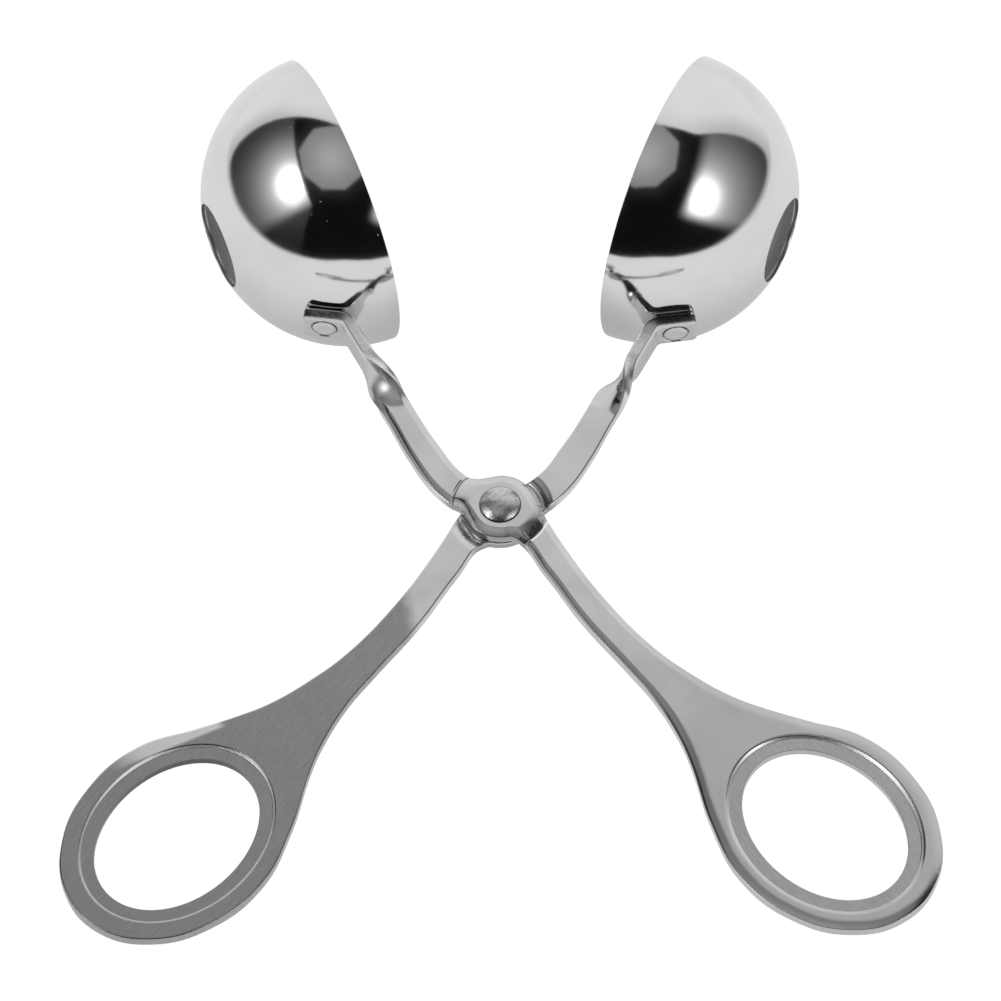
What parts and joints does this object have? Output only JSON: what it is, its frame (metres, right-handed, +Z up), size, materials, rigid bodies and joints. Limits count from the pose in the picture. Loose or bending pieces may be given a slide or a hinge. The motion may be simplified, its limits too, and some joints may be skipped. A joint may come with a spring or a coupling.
{
  "type": "meatball scoop",
  "caption": "Scissor-type meatball scoop: crossing stamped levers with oval finger rings, joined by one rivet, each carrying a deep hemispherical bowl with a hole in its pole.",
  "frame": {"origin": "middle of the bounding box on the table plane, with the scoop lying open on its bowls and ring ends", "axes": "+Z up from the table, +Y from the finger rings towards the bowls, +X to the right seen from above with the bowls pointing away"},
  "size_m": [0.1452, 0.1634, 0.0499],
  "materials": {
    "upper_lever_steel": "tumbled stainless steel, fairly bright, die-rolled edge up",
    "lower_lever_steel": "brushed stainless steel, crisp edge up",
    "bowl_steel": "mirror-polished stainless steel",
    "rivet_steel": "plain stainless steel, set head"
  },
  "bodies": {
    "upper_side": {"upper_lever": "upper_lever_steel", "left_bowl": "bowl_steel", "left_bowl_rivet": "rivet_steel", "pivot_rivet": "rivet_steel"},
    "lower_side": {"lower_lever": "lower_lever_steel", "right_bowl": "bowl_steel", "right_bowl_rivet": "rivet_steel"}
  },
  "joints": [
    {"name": "scissor_pivot", "type": "hinge", "parent": "upper_side", "child": "lower_side", "pos_m": [0, -0.00187, 0.01486], "axis": [0, -0.164, 0.9865], "range_deg": [-10, 46.4]}
  ]
}
